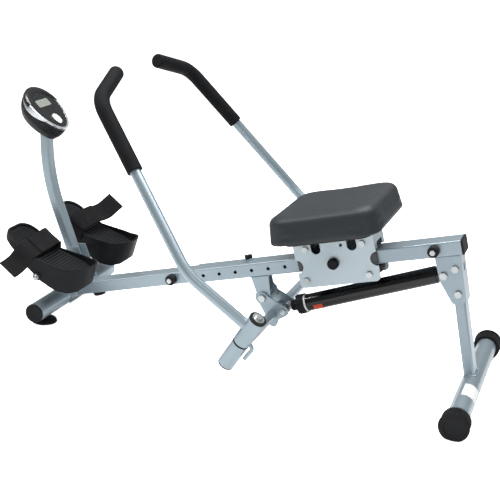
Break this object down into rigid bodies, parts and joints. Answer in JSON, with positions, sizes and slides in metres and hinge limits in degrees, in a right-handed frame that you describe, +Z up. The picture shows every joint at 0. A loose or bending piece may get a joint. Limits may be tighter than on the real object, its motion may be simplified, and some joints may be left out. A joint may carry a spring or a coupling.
{
  "type": "rowing machine",
  "caption": "Home rowing machine with two swinging handle arms, a hydraulic cylinder, a padded sliding seat, strapped footplates and a small display on a telescoping frame.",
  "frame": {"origin": "centre of the bounding box in plan, on the floor", "axes": "+X along the machine, from the footplates toward the raised rear end of the rail; +Y across it; +Z up"},
  "size_m": [1.2828, 0.7756, 0.6863],
  "materials": {
    "silver_paint": "satin metallic paint",
    "plate_paint": "light satin paint",
    "bright_zinc": "bright zinc plate",
    "rod_chrome": "polished",
    "barrel_paint": "gloss black paint",
    "black_rubber": "matt",
    "grip_foam": "closed-cell foam, matt",
    "black_plastic": "fine moulded texture",
    "roller_plastic": "satin",
    "pad_nylon": "satin",
    "console_plastic": "semi-gloss",
    "trim_silver": "silver paint on plastic",
    "screen_grey": "clear window over a grey display",
    "button_white": "smooth",
    "ring_white": "smooth",
    "webbing": "woven nylon",
    "seat_vinyl": "fine grain vinyl",
    "seat_ply": "dark stained plywood"
  },
  "bodies": {
    "frame": {"main_rail": "silver_paint", "rail_end_cap": "black_rubber", "drop_bracket": "silver_paint", "leg_bracket": "silver_paint", "leg_tube": "silver_paint", "rear_stabiliser": "silver_paint", "rear_caps": "black_rubber", "rear_bumpers": "black_rubber", "frame_bolts": "bright_zinc", "cylinder_rear_bolt": "bright_zinc", "crank_pivot_bolt": "bright_zinc"},
    "front": {"front_tube": "silver_paint", "front_stabiliser": "silver_paint", "front_plugs": "black_plastic", "front_feet": "black_rubber", "front_bumpers": "black_rubber", "front_bolts": "bright_zinc", "post_bracket": "silver_paint", "console_post": "silver_paint", "console_shell": "console_plastic", "console_trim": "trim_silver", "console_face": "console_plastic", "console_lens": "screen_grey", "pedal_axle": "bright_zinc"},
    "button": {"console_button": "button_white"},
    "left_footplate": {"pedal_left": "black_plastic", "strap_left": "webbing"},
    "right_footplate": {"pedal_right": "black_plastic", "strap_right": "webbing"},
    "lock_knob": {"length_knob": "black_plastic"},
    "carriage": {"carriage_plate_left": "plate_paint", "carriage_plate_right": "plate_paint", "carriage_top": "plate_paint", "guide_pads": "pad_nylon", "roller_axles": "bright_zinc", "seat_board": "seat_ply", "seat_cushion": "seat_vinyl"},
    "side_knob": {"carriage_knob": "black_plastic"},
    "top_front_roller": {"top_roller_front": "roller_plastic"},
    "top_rear_roller": {"top_roller_rear": "roller_plastic"},
    "low_front_roller": {"low_roller_front": "roller_plastic"},
    "low_rear_roller": {"low_roller_rear": "roller_plastic"},
    "crank": {"crank_frame": "silver_paint", "spindle_left": "silver_paint", "spindle_right": "silver_paint", "hub_plugs": "black_plastic", "hub_bolts": "bright_zinc", "rod_end_bolt": "bright_zinc"},
    "left_arm": {"arm_left": "silver_paint", "grip_left": "grip_foam", "bushes_left": "black_plastic"},
    "right_arm": {"arm_right": "silver_paint", "grip_right": "grip_foam", "bushes_right": "black_plastic"},
    "cylinder": {"cylinder_barrel": "barrel_paint", "cylinder_ring": "ring_white"},
    "strength_knob": {"resistance_knob": "black_plastic"},
    "rod": {"piston_rod": "rod_chrome", "rod_boot": "black_rubber"}
  },
  "joints": [
    {"name": "length_slide", "type": "slide", "parent": "frame", "child": "front", "axis": [0.9527, 0, 0.304], "range_m": [-0.09, 0.045]},
    {"name": "button_press", "type": "slide", "parent": "front", "child": "button", "axis": [-0.6428, 0, -0.766], "range_m": [0, 0.0015], "stiffness_N_per_m": 300, "springref_m": -0.001},
    {"name": "pedal_left_tilt", "type": "hinge", "parent": "front", "child": "left_footplate", "pos_m": [-0.49505, -0.118, 0.13264], "axis": [0, 1, 0], "range_deg": [-20, 20]},
    {"name": "pedal_right_tilt", "type": "hinge", "parent": "front", "child": "right_footplate", "pos_m": [-0.49505, 0.118, 0.13264], "axis": [0, 1, 0], "range_deg": [-20, 20]},
    {"name": "length_knob_turn", "type": "hinge", "parent": "frame", "child": "lock_knob", "pos_m": [0.01091, 0, 0.22798], "axis": [-0.304, 0, 0.9527], "range_deg": [-180, 180]},
    {"name": "seat_slide", "type": "slide", "parent": "frame", "child": "carriage", "axis": [0.9527, 0, 0.304], "range_m": [-0.058, 0.12]},
    {"name": "carriage_knob_turn", "type": "hinge", "parent": "carriage", "child": "side_knob", "pos_m": [0.24304, -0.055, 0.27687], "axis": [0, 1, 0], "range_deg": [-180, 180]},
    {"name": "top_front_spin", "type": "hinge", "parent": "carriage", "child": "top_front_roller", "pos_m": [0.16856, 0, 0.29645], "axis": [0, 1, 0], "range_deg": [-150, 305]},
    {"name": "top_rear_spin", "type": "hinge", "parent": "carriage", "child": "top_rear_roller", "pos_m": [0.30574, 0, 0.34023], "axis": [0, 1, 0], "range_deg": [-150, 305]},
    {"name": "low_front_spin", "type": "hinge", "parent": "carriage", "child": "low_front_roller", "pos_m": [0.18197, 0, 0.21823], "axis": [0, 1, 0], "range_deg": [-365, 180]},
    {"name": "low_rear_spin", "type": "hinge", "parent": "carriage", "child": "low_rear_roller", "pos_m": [0.33345, 0, 0.26657], "axis": [0, 1, 0], "range_deg": [-365, 180]},
    {"name": "crank_turn", "type": "hinge", "parent": "frame", "child": "crank", "pos_m": [0.06803, 0, 0.14439], "axis": [0, 1, 0], "range_deg": [0, 40]},
    {"name": "arm_left_swing", "type": "hinge", "parent": "crank", "child": "left_arm", "pos_m": [0.09871, -0.3337, 0.10747], "axis": [0.48, -0.1335, 0.8671], "range_deg": [-7, 40]},
    {"name": "arm_right_swing", "type": "hinge", "parent": "crank", "child": "right_arm", "pos_m": [0.09871, 0.3337, 0.10747], "axis": [-0.48, -0.1335, -0.8671], "range_deg": [-7, 40]},
    {"name": "cylinder_tilt", "type": "hinge", "parent": "frame", "child": "cylinder", "pos_m": [0.50498, 0, 0.2935], "axis": [0, 1, 0], "range_deg": [-3, 0.5]},
    {"name": "rod_slide", "type": "slide", "parent": "cylinder", "child": "rod", "axis": [-0.9102, 0, -0.4142], "range_m": [0, 0.045]},
    {"name": "resistance_turn", "type": "hinge", "parent": "cylinder", "child": "strength_knob", "pos_m": [0.16297, 0, 0.13786], "axis": [-0.9102, 0, -0.4142], "range_deg": [-150, 150]}
  ],
  "couplings": [
    {"joint": "top_front_spin", "follows": "seat_slide", "rad_per_m": 43.478},
    {"joint": "top_rear_spin", "follows": "seat_slide", "rad_per_m": 43.478},
    {"joint": "low_front_spin", "follows": "seat_slide", "rad_per_m": -52.632},
    {"joint": "low_rear_spin", "follows": "seat_slide", "rad_per_m": -52.632},
    {"joint": "cylinder_tilt", "follows": "crank_turn", "ratio": -0.0596},
    {"joint": "rod_slide", "follows": "crank_turn", "m_per_rad": 0.05461}
  ]
}
